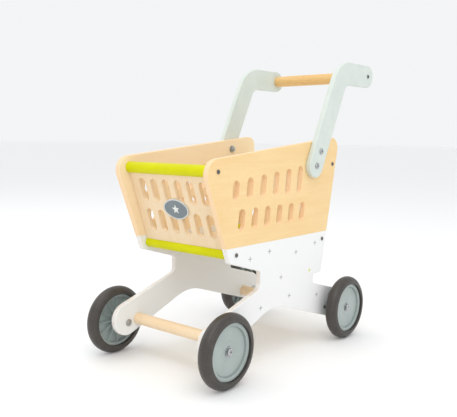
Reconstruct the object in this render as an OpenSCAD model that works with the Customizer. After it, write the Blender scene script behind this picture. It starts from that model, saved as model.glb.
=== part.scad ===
// Child's push-along shopping cart: two plywood side boards carry a slatted basket,
// round rods tie them together, two bent arms hold the handle bar, and four wheels
// turn on shoulder bolts. Millimetres, +Z up, +Y towards the handle.
// Heights and lengths in the profile sections are measured from an axle: points of
// the front half from the front axle, points of the rear half from the rear axle.

/* [Overall] */
// Diameter of a wheel over its tyre
wheel_d = 105; // [86:1:126]
// Distance between the front and the rear axle
wheelbase = 310.5; // [256:0.5:374]
// Clear width between the two side boards
inner_w = 168; // [138:1:204]
// Height of the handle arms' top edge above the axles
handle_h = 412.5; // [380:0.5:500]
// How far the handle arms reach behind the rear axle
handle_reach = 97; // [75:1:140]

/* [Side boards] */
// Thickness of a side board
board_t = 9; // [7:0.5:12]
// Lower front corner of the basket side, from the front axle
basket_front_low = [31, 111]; // [-200:0.5:400]
// Upper front corner of the basket side, from the front axle
basket_front_top = [-25.5, 254]; // [-200:0.5:400]
// Upper rear corner of the basket side, from the rear axle
basket_rear_top = [3, 289]; // [-200:0.5:400]
// Lower rear corner of the basket side, from the rear axle
basket_rear_low = [-44, 65.5]; // [-200:0.5:400]
// Radius of the upper front corner
front_top_r = 22; // [8:1:40]
// Radius of the upper rear corner
rear_top_r = 17; // [8:1:40]
// Radius of the small outer corners
small_corner_r = 5; // [2:0.5:8]

/* [Legs] */
// Centre of the front leg's round end, from the front axle
front_leg_end = [-1.5, 5.5]; // [-20:0.5:20]
// Centre of the rear leg's round end, from the rear axle
rear_leg_end = [-7.5, 6.5]; // [-20:0.5:20]
// Radius of a leg's round end
leg_end_r = 25; // [21:0.5:29]
// Slope of the front leg's upper edge in degrees
front_leg_top_deg = 17.6; // [12:0.1:22]
// Slope of the front leg's lower edge in degrees
front_leg_low_deg = 21.8; // [16:0.1:26]
// Slope of the rear leg's upper edge in degrees
rear_leg_top_deg = 16.1; // [12:0.1:22]
// Slope of the rear leg's lower edge in degrees
rear_leg_low_deg = 17.5; // [12:0.1:22]
// Radius of the arch between the legs
arch_r = 80; // [40:1:100]
// Innermost line of the front notch, from the front axle
front_notch_y = 101; // [85:1:115]
// Top of the front notch at its inner end, above the axles
front_notch_z = 90; // [84:0.5:96]
// Innermost line of the rear notch, from the rear axle
rear_notch_y = -66.5; // [-76:0.5:-60]
// Top of the rear notch, above the axles
rear_notch_z = 63.5; // [58:0.5:72]
// Radius in the notches' upper inner corners
notch_r = 4; // [2:0.5:6]
// Radius where the front leg runs up into the board
front_crotch_r = 9; // [4:0.5:11]
// Radius where the rear leg runs up into the board
rear_crotch_r = 4; // [2:0.5:5]

/* [Side slots] */
// Number of slots in a row
slot_n = 6; // [3:1:8]
// Width of a side slot
slot_w = 14; // [10:0.5:16]
// Lean of the slots from upright in degrees
slot_lean = 6.5; // [0:0.5:10]
// Lower end of the upper row's first slot, from the front axle
upper_first = [42.2, 199.5]; // [0:0.5:300]
// Lower end of the upper row's last slot, from the rear axle
upper_last_y = -113.3; // [-140:0.1:-100]
// Distance from the upper slots' top ends to the board's top edge
upper_margin = 35.4; // [30:0.1:42]
// Lower end of the lower row's first slot, from the front axle
lower_first = [55, 155.5]; // [0:0.5:300]
// Lower end of the lower row's last slot, from the rear axle
lower_last_y = -105.5; // [-140:0.1:-95]
// Height of the lower row's slots
lower_slot_h = 30; // [22:1:38]

/* [Rods] */
// Radius of the four coloured rods
rod_r = 8.5; // [7:0.1:10]
// Front top rod, from the front axle
front_top_rod_at = [4, 239.5]; // [-200:0.5:400]
// Front bottom rod, from the front axle
front_bottom_rod_at = [44, 121.7]; // [-200:0.1:400]
// Rear top rod, from the rear axle
rear_top_rod_at = [-17.6, 243.2]; // [-200:0.1:400]
// Rear bottom rod, from the rear axle
rear_bottom_rod_at = [-44.1, 120.4]; // [-200:0.1:400]
// Radius of the two dowels between the legs
dowel_r = 8.8; // [7:0.1:10]
// Dowel between the front legs, from the front axle
front_dowel_at = [18.9, 3.2]; // [-40:0.1:40]
// Dowel between the rear legs, from the rear axle
rear_dowel_at = [-30.4, 1.7]; // [-40:0.1:40]

/* [Panels and floor] */
// Thickness of the front and rear panels
panel_t = 7; // [5:0.5:8]
// Thickness of the basket floor
floor_t = 5; // [4:0.5:6]
// How far the floor's middle lies below the lower of the bottom rods' centres
floor_drop = 2; // [0:0.5:3]
// How far each face of the floor is cut back at its tongues, which sit in the rods
tongue_step = 0.7; // [0.4:0.1:1]
// How deep a panel or the floor sits in a rod's groove
groove_depth = 4; // [2:0.5:5]
// Width of a panel slot
panel_slot_w = 13.5; // [9:0.5:15]
// Number of panel slots across
panel_slot_n = 6; // [4:1:7]
// Distance from a side board to the nearest column of slots
panel_slot_edge = 23; // [18:0.5:30]
// Distance from the top rod's centre to the upper slots
panel_slot_top = 15.5; // [13:0.5:22]
// Distance from the lower slots to the bottom rod's centre
panel_slot_bottom = 23.4; // [14:0.1:30]
// Height of the wood between the two rows of slots
panel_slot_band = 13.5; // [8:0.5:20]

/* [Badge] */
// Length of the oval badge
badge_l = 49; // [40:0.5:56]
// Height of the oval badge
badge_h = 32; // [26:0.5:36]
// Thickness of the badge
badge_t = 2.5; // [1.5:0.5:4]
// Radius of the badge's ends
badge_end_r = 11; // [8:0.5:12]
// Distance from the top rod's centre to the badge's centre
badge_drop = 60; // [54:0.5:66]

/* [Handle] */
// Thickness of a handle arm
arm_t = 9; // [7:0.5:12]
// Width of a handle arm
arm_w = 38; // [32:0.5:44]
// Centre of the arm's lower round end, from the rear axle
arm_foot = [-79, 242]; // [-200:0.5:400]
// Lean of the arm's lower part from upright in degrees
arm_lean = 26.1; // [18:0.1:34]
// Radius of the bend along the middle of the arm
arm_bend_r = 37; // [30:0.5:48]
// Radius of the handle bar
bar_r = 9.8; // [8:0.1:12]
// Distance between the two bolts of an arm
arm_bolt_pitch = 25.5; // [20:0.5:34]

/* [Wheels] */
// Distance from a side board's outer face to a wheel's middle
wheel_offset = 22; // [20:0.5:26]
// Width of a tyre
tyre_w = 21; // [17:0.5:22]
// Thickness of a tyre from rim to tread
tyre_t = 12; // [10:0.5:14]
// Width of the hub's barrel on the outer side of its middle
rim_out = 6.7; // [5:0.1:8]
// Width of the hub's barrel on the inner side of its middle
rim_in = 5.6; // [4.5:0.1:7]
// Wall of the hub's barrel
rim_wall = 4; // [3:0.1:5]
// Width of the raised ring on the hub's face
ring_w = 5.5; // [5:0.1:8]
// Width of the groove inside the raised ring
ring_groove_w = 1.6; // [1:0.1:3]
// Height of the dish above the wheel's middle
dish_z = 3.4; // [2.8:0.1:4]
// Thickness of the dish
dish_t = 2.6; // [2:0.1:3]
// Radius of the hub's centre boss
boss_r = 10; // [8.5:0.1:12]
// Length of the boss on the inner side of the wheel's middle
boss_in = 8; // [6:0.1:9]
// Number of ribs behind the dish
rib_n = 12; // [6:1:16]
// Thickness of a rib
rib_t = 1.6; // [1.2:0.1:2.4]
// Outer radius of the bush in a hub
bush_r = 5.2; // [4.6:0.1:6]
// Radius of the bush's flange
bush_flange_r = 8; // [7:0.1:8.4]
// Thickness of the bush's flange
bush_flange_t = 1.5; // [1:0.1:2]

/* [Fasteners] */
// Radius of an axle bolt's shank
axle_r = 3; // [2.5:0.1:3.5]
// Radius of an axle bolt's head
axle_head_r = 5.4; // [4.8:0.1:6]
// Height of an axle bolt's head
axle_head_h = 2.4; // [2:0.1:3]
// Radius of the washer under an axle bolt's head
axle_washer_r = 7.6; // [6.5:0.1:8.4]
// Thickness of the washer under an axle bolt's head
axle_washer_t = 1; // [0.8:0.1:1.4]
// Outer radius of the spacer between a board and a hub
spacer_r = 6; // [5:0.1:7]
// Radius of an axle nut's barrel
nut_barrel_r = 4.4; // [4.2:0.1:4.8]
// Radius of an axle nut's flange
nut_flange_r = 5.5; // [5.2:0.1:8.4]
// Thickness of an axle nut's flange
nut_flange_t = 1.5; // [1:0.1:2]
// Radius of a rod screw's shank
screw_r = 1.9; // [1.5:0.1:2.2]
// Radius of a rod screw's head
screw_head_r = 3.2; // [2.8:0.1:4]
// Height of a rod screw's head
screw_head_h = 1.2; // [0.8:0.1:2]
// How deep a rod screw goes into its rod
screw_depth = 18; // [12:1:26]
// Radius of an arm bolt's shank
arm_bolt_r = 2.5; // [2:0.1:3]
// Radius of an arm bolt's head
arm_bolt_head_r = 4.6; // [4:0.1:5.4]
// Height of an arm bolt's head
arm_bolt_head_h = 2.2; // [1.6:0.1:3]
// Radius of an arm bolt's washer
arm_washer_r = 6.5; // [5.5:0.1:8]
// Thickness of an arm bolt's washer
arm_washer_t = 1; // [0.8:0.1:1.6]
// Width across the flats of an arm bolt's nut
arm_nut_flats = 8; // [7:0.5:10]
// Height of an arm bolt's nut
arm_nut_h = 4; // [3:0.1:5]

/* [Clearances] */
// Gap between a wheel's moving and fixed faces along the axle
end_play = 0.3; // [0.2:0.05:0.5]
// Radial running gap between an axle bolt and its bush
running_gap = 0.08; // [0.05:0.01:0.1]
// Gap between fixed pieces that slide or press together
fit_gap = 0.05; // [0.02:0.01:0.1]
// Gap round a panel's edges
panel_gap = 0.15; // [0.1:0.05:0.3]

/* [Hidden] */
$fn = 96;

LEFT = -1;
RIGHT = 1;
SIDES = [LEFT, RIGHT];
// Drills and cutters run this far past the faces they open
past = 1;
// A screw's cross recess: its arms' width, its depth, and its span in head radii
recess_w = 1.1;
recess_depth = 1.2;
recess_span = 1.2;

wheel_r = wheel_d / 2;
rim_r = wheel_r - tyre_t;
inner_x = inner_w / 2;
outer_x = inner_x + board_t;
arm_x = outer_x + arm_t;
wheel_x = outer_x + wheel_offset;
front_axle = [0, 0];
rear_axle = [wheelbase, 0];
length = wheel_r + wheelbase + handle_reach;

function rear(p) = p + rear_axle;
function unit(v) = v / norm(v);
function crossed(a, b) = a[0] * b[1] - a[1] * b[0];
function along(deg) = [cos(deg), sin(deg)];
// Where the line from p at angle a crosses the line from q at angle b
function meet(p, a, q, b) =
    p + along(a) * crossed(q - p, along(b)) / crossed(along(a), along(b));

// ---- rounded outlines ----

// An outline is a list of corners and round ends, counter-clockwise. A corner is
// [y, z, radius]. A round end is [y, z, radius, first angle, last angle] about its centre.
arc_step = 5;
function is_end(c) = len(c) == 5;
function spot(c) = [c[0], c[1]];
function entry(c) = is_end(c) ? spot(c) + c[2] * along(c[3]) : spot(c);
function leaving(c) = is_end(c) ? spot(c) + c[2] * along(c[4]) : spot(c);
function back_of(cs, i) = unit(leaving(cs[(i + len(cs) - 1) % len(cs)]) - spot(cs[i]));
function ahead_of(cs, i) = unit(entry(cs[(i + 1) % len(cs)]) - spot(cs[i]));

function arc(centre, r, first, last) =
    let (n = ceil(abs(last - first) / arc_step))
    [for (k = [0 : n]) centre + r * along(first + (last - first) * k / n)];

function corner_arc(at, r, back, ahead) =
    let (half = acos(back * ahead) / 2,
         centre = at + unit(back + ahead) * r / sin(half),
         start = at + back * r / tan(half) - centre,
         first = atan2(start[1], start[0]),
         turn = sign(crossed(ahead, back)) * (180 - 2 * half))
    arc(centre, r, first, first + turn);

function outline_points(cs) = [for (i = [0 : len(cs) - 1]) each
    is_end(cs[i]) ? arc(spot(cs[i]), cs[i][2], cs[i][3], cs[i][4])
                  : corner_arc(spot(cs[i]), cs[i][2], back_of(cs, i), ahead_of(cs, i))];

// A slot with round ends, from one end's centre to the other's
module slot_outline(p, q, w) {
    side = [-(q - p)[1], (q - p)[0]] * w / 2 / norm(q - p);
    polygon([p + side, p - side, q - side, q + side]);
    for (end = [p, q]) translate(end) circle(d = w, $fn = 48);
}

// ---- placing ----

// From the front axle's frame to the cart's own frame, on the floor under its middle
module in_frame() {
    translate([0, wheel_r - length / 2, wheel_r]) children();
}

// Stands a side outline up as a plate from x to x + t
module plate(x, t) {
    translate([x, 0, 0]) rotate([90, 0, 90]) linear_extrude(t) children();
}

module on_side(side) {
    if (side == LEFT) mirror([1, 0, 0]) children();
    else children();
}

// A round bar along X from x0 to x1 through the point [y, z]
module round_bar(at, r, x0, x1) {
    translate([x0, at[0], at[1]]) rotate([0, 90, 0]) cylinder(r = r, h = x1 - x0);
}

module cross_recess(at, face_x, span) {
    for (turn = [0, 90])
        translate([face_x, at[0], at[1]]) rotate([turn, 0, 0])
            cube([2 * recess_depth, recess_w, span], center = true);
}

// ---- side boards ----

front_leg_top = front_leg_end + leg_end_r * along(90 + front_leg_top_deg);
front_leg_low = front_leg_end + leg_end_r * along(front_leg_low_deg - 90);
rear_leg_top = rear(rear_leg_end) + leg_end_r * along(90 - rear_leg_top_deg);
rear_leg_low = rear(rear_leg_end) + leg_end_r * along(-90 - rear_leg_low_deg);
arch_top = meet(front_leg_low, front_leg_low_deg, rear_leg_low, 180 - rear_leg_low_deg);
front_crotch = meet(front_leg_top, front_leg_top_deg, [front_notch_y, 0], 90);
rear_crotch = meet(rear_leg_top, 180 - rear_leg_top_deg, rear([rear_notch_y, 0]), 90);

board_corners = [
    [basket_front_low[0], basket_front_low[1], small_corner_r],
    [front_notch_y, front_notch_z, notch_r],
    [front_crotch[0], front_crotch[1], front_crotch_r],
    [front_leg_end[0], front_leg_end[1], leg_end_r, 90 + front_leg_top_deg, 270 + front_leg_low_deg],
    [arch_top[0], arch_top[1], arch_r],
    [rear(rear_leg_end)[0], rear_leg_end[1], leg_end_r, 270 - rear_leg_low_deg, 450 - rear_leg_top_deg],
    [rear_crotch[0], rear_crotch[1], rear_crotch_r],
    [rear([rear_notch_y, 0])[0], rear_notch_z, notch_r],
    [rear(basket_rear_low)[0], basket_rear_low[1], small_corner_r],
    [rear(basket_rear_top)[0], basket_rear_top[1], rear_top_r],
    [basket_front_top[0], basket_front_top[1], front_top_r]
];

lean = along(90 - slot_lean);
top_edge_deg = atan2(basket_rear_top[1] - basket_front_top[1],
                     rear(basket_rear_top)[0] - basket_front_top[0]);

// Upper slots reach up to a line at upper_margin below the board's top edge
module upper_slots() {
    pitch = (rear([upper_last_y, 0])[0] - upper_first[0]) / (slot_n - 1);
    line = basket_front_top - [0, upper_margin + slot_w / 2];
    for (i = [0 : slot_n - 1]) {
        low = upper_first + [i * pitch, slot_w / 2];
        slot_outline(low, meet(low, 90 - slot_lean, line, top_edge_deg), slot_w);
    }
}

module lower_slots() {
    pitch = (rear([lower_last_y, 0])[0] - lower_first[0]) / (slot_n - 1);
    for (i = [0 : slot_n - 1]) {
        low = lower_first + [i * pitch, slot_w / 2];
        slot_outline(low, low + lean * (lower_slot_h - slot_w) / lean[1], slot_w);
    }
}

rods_at = [front_top_rod_at, front_bottom_rod_at, rear(rear_top_rod_at), rear(rear_bottom_rod_at)];
dowels_at = [front_dowel_at, rear(rear_dowel_at)];
arm_deg = 90 - arm_lean;
arm_bolts_at = [rear(arm_foot), rear(arm_foot) + along(arm_deg) * arm_bolt_pitch];
axles_at = [front_axle, rear_axle];

module side_board(side) {
    color([0.98, 0.86, 0.66]) in_frame() on_side(side) difference() {
        plate(inner_x, board_t) difference() {
            polygon(outline_points(board_corners));
            upper_slots();
            lower_slots();
        }
        for (at = concat(rods_at, dowels_at))
            round_bar(at, screw_r + fit_gap, inner_x - past, outer_x + past);
        for (at = arm_bolts_at)
            round_bar(at, arm_bolt_r + fit_gap, inner_x - past, outer_x + past);
        for (at = axles_at)
            round_bar(at, nut_barrel_r + fit_gap, inner_x - past, outer_x + past);
    }
}

// ---- basket ----

front_rods = [front_top_rod_at, front_bottom_rod_at];
rear_rods = [rear(rear_top_rod_at), rear(rear_bottom_rod_at)];
floor_z = min(front_bottom_rod_at[1], rear_bottom_rod_at[1]) - floor_drop;

// Local frame on the top rod's centre line, with -Z down the panel to the bottom rod
module on_panel(rods) {
    run = rods[1] - rods[0];
    translate([0, rods[0][0], rods[0][1]]) rotate([atan2(run[0], -run[1]), 0, 0]) children();
}

// The panel without its slots. Its cutter is larger by gap, and longer by run_out at each end
module panel_blank(rods, gap = 0, run_out = 0) {
    seat = rod_r - groove_depth - gap;
    tall = norm(rods[1] - rods[0]) - 2 * seat;
    wide = inner_w - 2 * panel_gap + 2 * run_out;
    on_panel(rods) translate([-wide / 2, -panel_t / 2 - gap, -seat - tall])
        cube([wide, panel_t + 2 * gap, tall]);
}

module panel_slots(rods) {
    span = norm(rods[1] - rods[0]);
    pitch = (inner_w - 2 * panel_slot_edge) / (panel_slot_n - 1);
    tall = (span - panel_slot_top - panel_slot_bottom - panel_slot_band) / 2;
    for (i = [0 : panel_slot_n - 1], top = [panel_slot_top, panel_slot_top + tall + panel_slot_band])
        on_panel(rods) rotate([90, 0, 0])
            linear_extrude(panel_t + 2 * past, center = true)
                slot_outline([panel_slot_edge - inner_x + i * pitch, -top - panel_slot_w / 2],
                             [panel_slot_edge - inner_x + i * pitch, -top - tall + panel_slot_w / 2],
                             panel_slot_w);
}

module slatted_panel(rods) {
    color([0.98, 0.86, 0.66]) in_frame() difference() {
        panel_blank(rods);
        panel_slots(rods);
    }
}

// A board at the floor's height that ends at this distance from the bottom rods' centres
module floor_slab(from_rod, wide, thick) {
    front = front_bottom_rod_at[0] + from_rod;
    back = rear(rear_bottom_rod_at)[0] - from_rod;
    translate([-wide / 2, front, floor_z - thick / 2]) cube([wide, back - front, thick]);
}

// The thin board whose ends are the floor's tongues, and its cutter in the same way
module floor_tongues(gap = 0, run_out = 0) {
    floor_slab(rod_r - groove_depth - gap,
               inner_w - 2 * panel_gap + 2 * run_out,
               floor_t - 2 * tongue_step + 2 * gap);
}

module basket_floor() {
    color([0.97, 0.84, 0.62]) in_frame() {
        floor_tongues();
        floor_slab(rod_r + panel_gap, inner_w - 2 * panel_gap, floor_t);
    }
}

module cross_bar(at, r, half, depth) {
    difference() {
        round_bar(at, r, -half, half);
        for (side = SIDES) on_side(side)
            round_bar(at, screw_r + fit_gap, half - depth - past, half + past);
        children();
    }
}

module green_rod(at, rods) {
    color([0.85, 0.86, 0]) in_frame() cross_bar(at, rod_r, inner_x, screw_depth) {
        panel_blank(rods, panel_gap, past);
        floor_tongues(panel_gap, past);
    }
}

module leg_dowel(at) {
    color([0.92, 0.7, 0.4]) in_frame() cross_bar(at, dowel_r, inner_x, screw_depth);
}

// An oval of four arcs: its end arcs run smoothly into its two long arcs
module oval(l, h, end_r) {
    end_x = l / 2 - end_r;
    rise = h / 2 - end_r;
    long_y = (end_x * end_x - rise * rise) / (2 * rise);
    long_r = h / 2 + long_y;
    joint_x = end_x * long_r / (long_r - end_r);
    intersection() {
        translate([0, -long_y]) circle(r = long_r);
        translate([0, long_y]) circle(r = long_r);
        square([2 * joint_x, h], center = true);
    }
    for (side = SIDES) translate([side * end_x, 0]) circle(r = end_r);
}

module badge() {
    color([0.5, 0.56, 0.58]) in_frame() on_panel(front_rods)
        translate([0, -panel_t / 2, -badge_drop]) rotate([90, 0, 0])
            linear_extrude(badge_t) oval(badge_l, badge_h, badge_end_r);
}

// ---- handle ----

arm_end = rear([handle_reach - arm_w / 2, handle_h - arm_w / 2]);
arm_half = arm_w / 2;
inner_elbow = meet(rear(arm_foot) + arm_half * along(arm_deg - 90), arm_deg, arm_end - [0, arm_half], 0);
outer_elbow = meet(rear(arm_foot) + arm_half * along(arm_deg + 90), arm_deg, arm_end + [0, arm_half], 0);

arm_corners = [
    [rear(arm_foot)[0], arm_foot[1], arm_half, arm_deg + 90, arm_deg + 270],
    [inner_elbow[0], inner_elbow[1], arm_bend_r - arm_half],
    [arm_end[0], arm_end[1], arm_half, 270, 450],
    [outer_elbow[0], outer_elbow[1], arm_bend_r + arm_half]
];

module handle_arm(side) {
    color([0.87, 0.9, 0.87]) in_frame() on_side(side) difference() {
        plate(outer_x, arm_t) polygon(outline_points(arm_corners));
        for (at = arm_bolts_at) round_bar(at, arm_bolt_r + fit_gap, outer_x - past, arm_x + past);
        round_bar(arm_end, screw_r + fit_gap, outer_x - past, arm_x + past);
    }
}

module handle_bar() {
    color([0.93, 0.74, 0.46]) in_frame() cross_bar(arm_end, bar_r, outer_x, screw_depth);
}

// ---- fasteners ----

// A screw whose head sits on the face at head_x and whose tip is at tip_x
module pan_screw(at, head_x, tip_x, r, head_r, head_h) {
    difference() {
        union() {
            round_bar(at, r, tip_x, head_x + head_h / 2);
            round_bar(at, head_r, head_x, head_x + head_h);
        }
        cross_recess(at, head_x + head_h, head_r * recess_span);
    }
}

module rod_screws() {
    color([0.45, 0.46, 0.45]) in_frame() for (side = SIDES, at = concat(rods_at, dowels_at))
        on_side(side) pan_screw(at, outer_x, inner_x - screw_depth, screw_r, screw_head_r, screw_head_h);
}

module handle_bar_screws() {
    color([0.45, 0.46, 0.45]) in_frame() for (side = SIDES)
        on_side(side) pan_screw(arm_end, arm_x, outer_x - screw_depth, screw_r, screw_head_r, screw_head_h);
}

module arm_bolts() {
    tip_x = inner_x - arm_washer_t - arm_nut_h - past;
    color([0.62, 0.64, 0.62]) in_frame() for (side = SIDES, at = arm_bolts_at)
        on_side(side) pan_screw(at, arm_x, tip_x, arm_bolt_r, arm_bolt_head_r, arm_bolt_head_h);
}

module arm_washers() {
    color([0.7, 0.71, 0.7]) in_frame() for (side = SIDES, at = arm_bolts_at) on_side(side) difference() {
        round_bar(at, arm_washer_r, inner_x - arm_washer_t, inner_x);
        round_bar(at, arm_bolt_r + fit_gap, inner_x - arm_washer_t - past, inner_x + past);
    }
}

module arm_nuts() {
    face_x = inner_x - arm_washer_t;
    color([0.66, 0.67, 0.66]) in_frame() for (side = SIDES, at = arm_bolts_at) on_side(side) difference() {
        translate([face_x - arm_nut_h, at[0], at[1]]) rotate([0, 90, 0])
            cylinder(r = arm_nut_flats / sqrt(3), h = arm_nut_h, $fn = 6);
        round_bar(at, arm_bolt_r + fit_gap, face_x - arm_nut_h - past, face_x + past);
    }
}

// ---- wheels, drawn with the wheel's middle at x = 0 and its outer face towards +X ----

axle_washer_x = dish_z + end_play;
axle_head_x = axle_washer_x + axle_washer_t;
board_face_x = -wheel_offset;
nut_face_x = board_face_x - board_t;

module at_wheel(axle, side) {
    on_side(side) translate([wheel_x, axle[0], axle[1]]) children();
}

module at_wheels() {
    in_frame() for (side = SIDES, axle = axles_at) at_wheel(axle, side) children();
}

module turned() {
    rotate([0, 90, 0]) rotate_extrude($fn = 128) children();
}

module tyre(axle, side) {
    color([0.25, 0.24, 0.23]) in_frame() at_wheel(axle, side) turned() difference() {
        translate([wheel_r - tyre_w / 2, 0]) circle(d = tyre_w);
        translate([0, -tyre_w]) square([rim_r, 2 * tyre_w]);
    }
}

hub_barrel_r = rim_r - fit_gap;
hub_bore_r = bush_r + fit_gap;
ring_r = hub_barrel_r - ring_w;
// The groove's bottom, halfway through the dish
groove_z = dish_z - dish_t / 2;

module hub_section() {
    polygon([
        [hub_bore_r, -boss_in], [boss_r, -boss_in],
        [boss_r, dish_z - dish_t], [hub_barrel_r - rim_wall, dish_z - dish_t],
        [hub_barrel_r - rim_wall, -rim_in], [hub_barrel_r, -rim_in],
        [hub_barrel_r, rim_out], [ring_r, rim_out],
        [ring_r, groove_z], [ring_r - ring_groove_w, groove_z],
        [ring_r - ring_groove_w, dish_z], [hub_bore_r, dish_z]
    ]);
}

module hub(axle, side) {
    rib_back = rim_in - past;
    color([0.69, 0.73, 0.71]) in_frame() at_wheel(axle, side) {
        turned() hub_section();
        for (i = [0 : rib_n - 1]) rotate([i * 360 / rib_n, 0, 0])
            translate([-rib_back, -rib_t / 2, boss_r - past])
                cube([rib_back + dish_z - dish_t / 2, rib_t, hub_barrel_r - rim_wall - boss_r + 2 * past]);
    }
}

module bush(axle, side) {
    color([0.3, 0.3, 0.31]) in_frame() at_wheel(axle, side) difference() {
        union() {
            round_bar([0, 0], bush_r, -boss_in, dish_z);
            round_bar([0, 0], bush_flange_r, -boss_in - bush_flange_t, -boss_in);
        }
        round_bar([0, 0], axle_r + running_gap, -boss_in - bush_flange_t - past, dish_z + past);
    }
}

module axle_bolts() {
    color([0.62, 0.64, 0.62]) at_wheels()
        pan_screw([0, 0], axle_head_x, nut_face_x, axle_r, axle_head_r, axle_head_h);
}

module axle_washers() {
    color([0.7, 0.71, 0.7]) at_wheels() difference() {
        round_bar([0, 0], axle_washer_r, axle_washer_x, axle_head_x);
        round_bar([0, 0], axle_r + fit_gap, axle_washer_x - past, axle_head_x + past);
    }
}

module axle_spacers() {
    tip_x = -boss_in - bush_flange_t - end_play;
    color([0.3, 0.3, 0.31]) at_wheels() difference() {
        round_bar([0, 0], spacer_r, board_face_x, tip_x);
        round_bar([0, 0], axle_r + fit_gap, board_face_x - past, tip_x + past);
    }
}

module axle_nuts() {
    color([0.66, 0.67, 0.66]) at_wheels() difference() {
        union() {
            round_bar([0, 0], nut_flange_r, nut_face_x - nut_flange_t, nut_face_x);
            round_bar([0, 0], nut_barrel_r, nut_face_x, board_face_x - past);
        }
        round_bar([0, 0], axle_r + fit_gap, nut_face_x - nut_flange_t - past, board_face_x);
    }
}

side_board(LEFT);  // side_board_left
side_board(RIGHT);  // side_board_right
slatted_panel(front_rods);  // front_panel
slatted_panel(rear_rods);  // rear_panel
basket_floor();
badge();
green_rod(front_top_rod_at, front_rods);  // front_top_rod
green_rod(front_bottom_rod_at, front_rods);  // front_bottom_rod
green_rod(rear(rear_top_rod_at), rear_rods);  // rear_top_rod
green_rod(rear(rear_bottom_rod_at), rear_rods);  // rear_bottom_rod
leg_dowel(front_dowel_at);  // front_leg_dowel
leg_dowel(rear(rear_dowel_at));  // rear_leg_dowel
handle_arm(LEFT);  // handle_arm_left
handle_arm(RIGHT);  // handle_arm_right
handle_bar();
rod_screws();
handle_bar_screws();
arm_bolts();
arm_washers();
arm_nuts();
axle_bolts();
axle_nuts();
axle_spacers();
axle_washers();
tyre(front_axle, LEFT);  // tyre_front_left
tyre(front_axle, RIGHT);  // tyre_front_right
tyre(rear_axle, LEFT);  // tyre_rear_left
tyre(rear_axle, RIGHT);  // tyre_rear_right
hub(front_axle, LEFT);  // hub_front_left
hub(front_axle, RIGHT);  // hub_front_right
hub(rear_axle, LEFT);  // hub_rear_left
hub(rear_axle, RIGHT);  // hub_rear_right
bush(front_axle, LEFT);  // bush_front_left
bush(front_axle, RIGHT);  // bush_front_right
bush(rear_axle, LEFT);  // bush_rear_left
bush(rear_axle, RIGHT);  // bush_rear_right
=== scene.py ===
"""The looks of a child's push-along shopping cart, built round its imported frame.

The frame gives every part's place and size in metres, +Z up and +Y towards the handle.
Plywood, rods, handle arms, bushes, fasteners and the badge's plate start from their
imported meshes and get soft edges. Tyres, hubs, the badge's star and the printed crosses
are modelled here. Each sub-assembly is a class, and so is each finish.
"""

import logging
import math
from collections.abc import Iterable, Mapping, Sequence
from dataclasses import dataclass
from enum import Enum
from typing import Any

import bmesh
import bpy
from mathutils import Matrix, Vector


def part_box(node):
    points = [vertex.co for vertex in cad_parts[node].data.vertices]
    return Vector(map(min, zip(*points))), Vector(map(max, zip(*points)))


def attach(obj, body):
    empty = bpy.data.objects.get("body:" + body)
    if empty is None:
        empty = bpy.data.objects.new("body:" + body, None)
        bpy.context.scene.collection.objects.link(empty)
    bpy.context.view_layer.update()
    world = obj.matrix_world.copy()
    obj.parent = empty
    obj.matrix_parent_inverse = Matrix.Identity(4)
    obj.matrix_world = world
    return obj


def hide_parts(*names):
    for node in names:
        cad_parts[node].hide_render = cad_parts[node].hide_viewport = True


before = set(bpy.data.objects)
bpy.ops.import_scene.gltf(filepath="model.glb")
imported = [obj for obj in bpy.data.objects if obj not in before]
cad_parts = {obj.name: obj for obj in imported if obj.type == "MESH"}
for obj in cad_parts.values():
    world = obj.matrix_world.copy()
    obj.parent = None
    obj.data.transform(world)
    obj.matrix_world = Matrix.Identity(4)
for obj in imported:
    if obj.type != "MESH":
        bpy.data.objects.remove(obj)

LOG = logging.getLogger("cart")
MM = 0.001
# A fold sharper than this is an edge that a maker would round
SHARP = math.radians(33)
# Faces turned less than this out of one plane are one face
FLAT = math.radians(0.4)
# A fold sharper than this stays crisp when a piece is shaded smooth
CRISP = math.radians(42)
# Points closer than this are one point
SAME = 0.002 * MM


class Axis(Enum):
    """The way that wood grain runs, as the cart's own axes."""

    X = 0
    Y = 1
    Z = 2


class Side(Enum):
    """A side of the cart, as the sign of X."""

    LEFT = -1
    RIGHT = 1


class Corner(Enum):
    """A wheel's corner: its name and its side."""

    FRONT_LEFT = ("front_left", Side.LEFT)
    FRONT_RIGHT = ("front_right", Side.RIGHT)
    REAR_LEFT = ("rear_left", Side.LEFT)
    REAR_RIGHT = ("rear_right", Side.RIGHT)


def paint_colour(code: str) -> tuple[float, float, float, float]:
    """Turns a paint code into a linear colour.

    Args:
        code: Six hexadecimal digits, as on a screen.

    Returns:
        Linear red, green and blue, and an alpha of 1.
    """
    shown = [int(code[i : i + 2], 16) / 255 for i in (0, 2, 4)]
    linear = [v / 12.92 if v <= 0.04045 else ((v + 0.055) / 1.055) ** 2.4 for v in shown]
    return (*linear, 1.0)


# ---- shader graphs ----


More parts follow.
